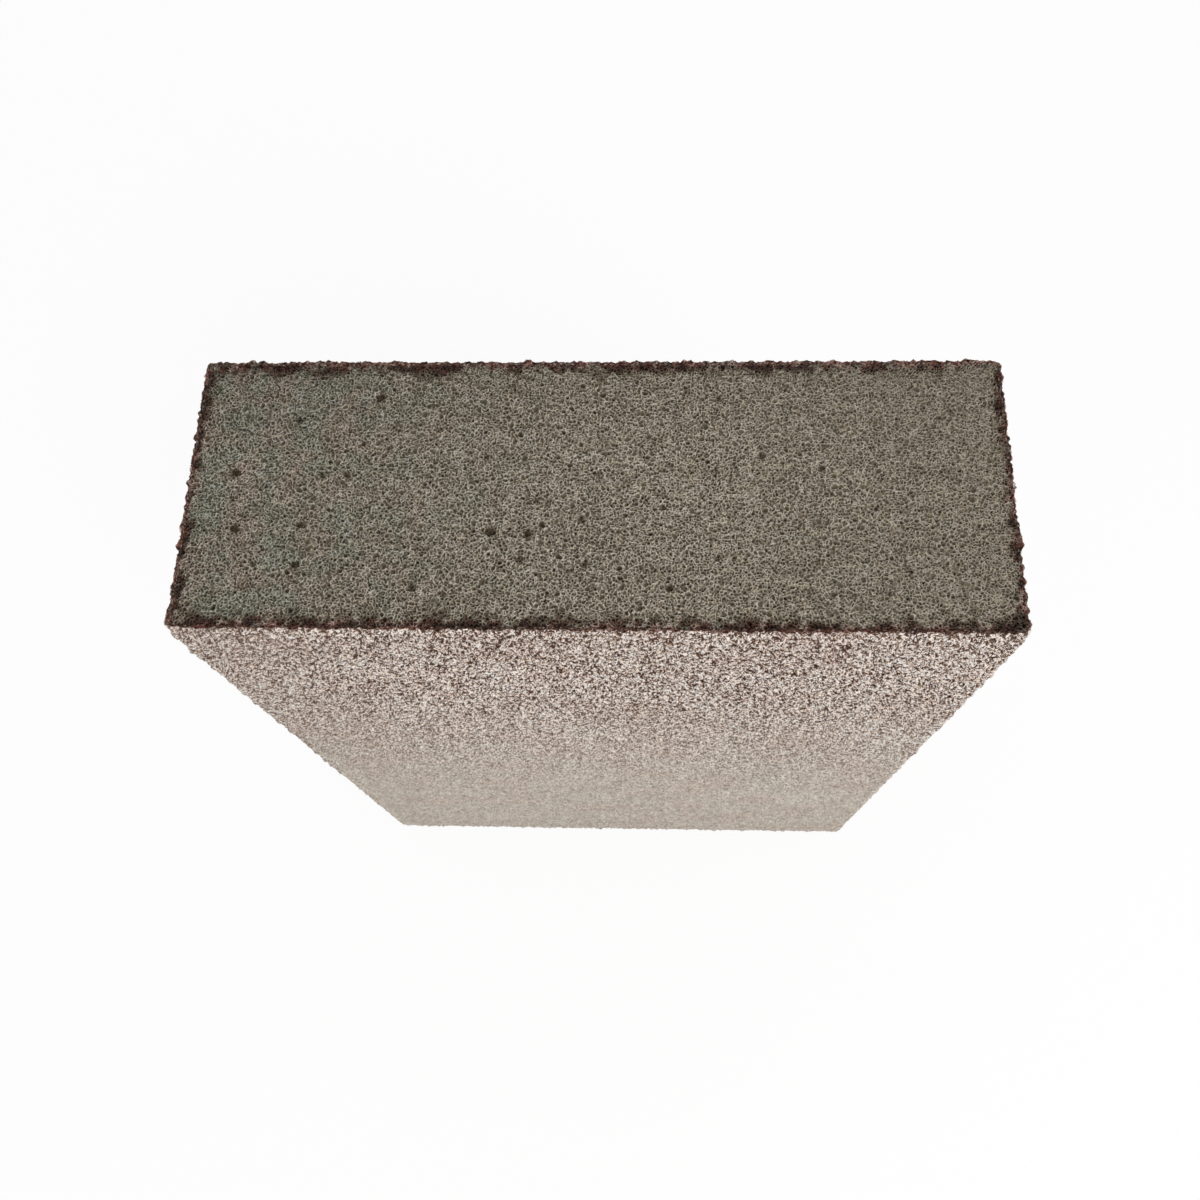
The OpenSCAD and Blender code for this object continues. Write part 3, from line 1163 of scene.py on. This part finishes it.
class SANDING_BLOCK_OT_stage(bpy.types.Operator):
    """Sets up the floor, the light and the camera"""

    bl_idname = "sanding_block.stage"
    bl_label = "Stage"

    # Half the width of the floor
    FLOOR_REACH = 3.0
    # Width of the picture that the lens is given for, in millimetres
    PICTURE_WIDTH = 36
    # How near the camera can see
    NEAREST = 1 * MM

    def execute(self, context):
        scene = context.scene
        studio = scene.sanding_block_studio
        scene.view_settings.view_transform = "Standard"
        self.make_floor(scene, studio)
        self.make_sky(scene, studio)
        self.make_lamp(scene, studio)
        self.make_camera(scene, studio)
        return {"FINISHED"}

    def make_floor(self, scene, studio):
        reach = self.FLOOR_REACH
        mesh = bpy.data.meshes.new("floor")
        corners = [(-reach, -reach, 0), (reach, -reach, 0), (reach, reach, 0), (-reach, reach, 0)]
        mesh.from_pydata(corners, [], [(0, 1, 2, 3)])
        floor = bpy.data.objects.new("floor", mesh)
        scene.collection.objects.link(floor)
        finish = Finish("plain_floor")
        finish.surface((*scene.sanding_block_colours.floor, 1), roughness=1.0, specular=0.0)
        # In the picture the floor is nearly white, and it keeps the block's shadow
        tree = finish.tree
        white = tree.nodes.new("ShaderNodeEmission")
        lifted = tree.nodes.new("ShaderNodeMixShader")
        share = finish.maths("MULTIPLY", seen_rays(tree), studio.lift)
        tree.links.new(share, lifted.inputs["Fac"])
        tree.links.new(finish.shader.outputs["BSDF"], lifted.inputs[1])
        tree.links.new(white.outputs["Emission"], lifted.inputs[2])
        tree.links.new(lifted.outputs["Shader"], tree.nodes["Material Output"].inputs["Surface"])
        mesh.materials.append(finish.material)

    def make_sky(self, scene, studio):
        world = bpy.data.worlds.new("even_light")
        world.use_nodes = True
        scene.world = world
        tree = world.node_tree
        background = tree.nodes["Background"]
        background.inputs["Color"].default_value = (1, 1, 1, 1)
        strength = tree.nodes.new("ShaderNodeMapRange")
        strength.inputs["To Min"].default_value = studio.sky
        tree.links.new(seen_rays(tree), strength.inputs["Value"])
        tree.links.new(strength.outputs["Result"], background.inputs["Strength"])

    def make_lamp(self, scene, studio):
        lamp = bpy.data.lights.new("soft_lamp", "AREA")
        lamp.shape = "DISK"
        lamp.size = studio.lamp_width
        lamp.energy = studio.lamp
        holder = bpy.data.objects.new("soft_lamp", lamp)
        holder.location = studio.lamp_place
        aim = Vector((0, 0, BLOCK.z / 2)) - holder.location
        holder.rotation_euler = aim.to_track_quat("-Z", "Y").to_euler()
        scene.collection.objects.link(holder)

    def make_camera(self, scene, studio):
        lens = bpy.data.cameras.new("camera")
        lens.lens = studio.lens
        lens.sensor_width = self.PICTURE_WIDTH
        lens.clip_start = self.NEAREST
        camera = bpy.data.objects.new("camera", lens)
        place = Vector(studio.camera_place)
        ahead = Vector(studio.camera_aim) - place
        roll = Quaternion((0, 0, 1), studio.camera_roll)
        camera.rotation_mode = "QUATERNION"
        camera.rotation_quaternion = ahead.to_track_quat("-Z", "Y") @ roll
        camera.location = place
        scene.collection.objects.link(camera)
        scene.camera = camera


class SANDING_BLOCK_OT_foam(bpy.types.Operator):
    """Makes the foam core, with its cells laid open on both cut ends"""

    bl_idname = "sanding_block.foam"
    bl_label = "Foam Core"

    def execute(self, context):
        scene = context.scene
        cells = scene.sanding_block_cells
        low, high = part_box("foam_core")
        across = np.linspace(low.x, high.x, round((high.x - low.x) / cells.step) + 1)
        up = np.linspace(low.y, high.y, round((high.y - low.y) / cells.step) + 1)
        x, y = np.meshgrid(across, up, indexing="ij")
        piece = end_slab("foam_core_cells", x, y, cells, scene.sanding_block_rim, with_pores=True)
        seat(piece, foam_finish(scene.sanding_block_colours), "foam_core")
        return {"FINISHED"}


class SANDING_BLOCK_OT_make_coats(bpy.types.Operator):
    """Makes the resin-soaked foam under each long side, which shows as the dark rim of the cut ends"""

    bl_idname = "sanding_block.make_coats"
    bl_label = "Make Coats"

    def execute(self, context):
        scene = context.scene
        cells = scene.sanding_block_cells
        material = soaked_finish(scene.sanding_block_colours)
        bed = scene.sanding_block_coats.bed
        rows = round((CORE_DEPTH - bed) / cells.step) + 1
        depth = np.linspace(bed, CORE_DEPTH, rows)
        for side in SIDES:
            span, out = side_sizes(side)
            across = np.linspace(-1, 1, round(span / cells.step) + 1)
            share, under = np.meshgrid(across, depth, indexing="ij")
            plan = np.stack([share * (span / 2 - under), under - out, np.zeros(share.shape)], axis=-1)
            x, y, _ = np.moveaxis(turned(side, plan), -1, 0)
            node = f"{side}_make_coat"
            piece = end_slab(f"{node}_cells", x, y, cells, scene.sanding_block_rim, with_pores=False)
            seat(piece, material, node)
        return {"FINISHED"}


class SANDING_BLOCK_OT_grain(bpy.types.Operator):
    """Makes the sharp abrasive grain on each long side"""

    bl_idname = "sanding_block.grain"
    bl_label = "Grain"

    # Layers of points at an edge
    LAYERS = 3
    # Share of the points that are tips of grains; the rest lie in the gaps
    TIPS = 0.5
    LEAST_TIP = 0.02 * MM
    LEAST_GAP = 0.05 * MM
    # Tones of the deepest gap and the highest tip, and how far tones stray. Higher points are paler:
    # partly pale grain on dark resin, partly painted light on the tips and painted shade in the gaps
    GAP_TONE = -0.12
    TIP_TONE = 1.0
    TONE_STRAY = 0.24

    def execute(self, context):
        scene = context.scene
        coats = scene.sanding_block_coats

        def height(draw):
            tip = blend(draw / self.TIPS, self.LEAST_TIP, coats.grain_peak)
            gap = blend((draw - self.TIPS) / (1 - self.TIPS), self.LEAST_GAP, coats.grain_dip)
            return np.where(draw < self.TIPS, tip, -gap)

        def tone(draw, random):
            raised = (height(draw) + coats.grain_dip) / (coats.grain_dip + coats.grain_peak)
            stray = random.normal(0, self.TONE_STRAY, draw.shape)
            return blend(raised, self.GAP_TONE, self.TIP_TONE) + stray

        shape = CoatShape(
            spacing=coats.grain,
            seed=coats.seed,
            layers=self.LAYERS,
            inner_depth=coats.bed,
            short=0,
            height_of=height,
            tone_of=tone,
        )
        lay_coats(scene, "grain", grain_finish(scene.sanding_block_colours), shape)
        return {"FINISHED"}


class SANDING_BLOCK_OT_size_coats(bpy.types.Operator):
    """Makes the thin resin film that fills the gaps between the grains on each long side"""

    bl_idname = "sanding_block.size_coats"
    bl_label = "Size Coats"

    # Layers of points at an edge
    LAYERS = 1
    # How uneven the film is, and the share of the grain's bed that it goes down to
    STRAY = 0.08 * MM
    DEPTH_SHARE = 0.9

    def execute(self, context):
        scene = context.scene
        coats = scene.sanding_block_coats

        def height(draw):
            return (draw - 0.5) * self.STRAY - coats.film_depth

        def tone(draw, random):
            return draw

        shape = CoatShape(
            spacing=coats.film,
            seed=coats.seed + FILM_SEED,
            layers=self.LAYERS,
            inner_depth=self.DEPTH_SHARE * coats.bed,
            short=coats.film_short,
            height_of=height,
            tone_of=tone,
        )
        lay_coats(scene, "size_coat", film_finish(scene.sanding_block_colours), shape)
        return {"FINISHED"}


STEPS = (
    SANDING_BLOCK_OT_stage,
    SANDING_BLOCK_OT_foam,
    SANDING_BLOCK_OT_make_coats,
    SANDING_BLOCK_OT_grain,
    SANDING_BLOCK_OT_size_coats,
)
SETTINGS = {
    "sanding_block_cells": FoamCells,
    "sanding_block_rim": RimSizes,
    "sanding_block_coats": CoatSizes,
    "sanding_block_colours": BlockColours,
    "sanding_block_studio": Studio,
}


class SANDING_BLOCK_PT_panel(bpy.types.Panel):
    """Lists the steps that make the sanding block"""

    bl_label = "Sanding Block"
    bl_idname = "SANDING_BLOCK_PT_panel"
    bl_space_type = "VIEW_3D"
    bl_region_type = "UI"
    bl_category = "Sanding Block"

    def draw(self, context):
        for step in STEPS:
            self.layout.operator(step.bl_idname)
        for name, group in SETTINGS.items():
            box = self.layout.box()
            for setting in group.__annotations__:
                box.prop(getattr(context.scene, name), setting)


def register():
    for group in SETTINGS.values():
        bpy.utils.register_class(group)
    for step in STEPS:
        bpy.utils.register_class(step)
    bpy.utils.register_class(SANDING_BLOCK_PT_panel)
    for name, group in SETTINGS.items():
        setattr(bpy.types.Scene, name, PointerProperty(type=group))


def unregister():
    for name in SETTINGS:
        delattr(bpy.types.Scene, name)
    bpy.utils.unregister_class(SANDING_BLOCK_PT_panel)
    for step in reversed(STEPS):
        bpy.utils.unregister_class(step)
    for group in reversed(SETTINGS.values()):
        bpy.utils.unregister_class(group)


def main():
    register()
    bpy.ops.sanding_block.stage()
    bpy.ops.sanding_block.foam()
    bpy.ops.sanding_block.make_coats()
    bpy.ops.sanding_block.grain()
    bpy.ops.sanding_block.size_coats()


if __name__ == "__main__":
    main()
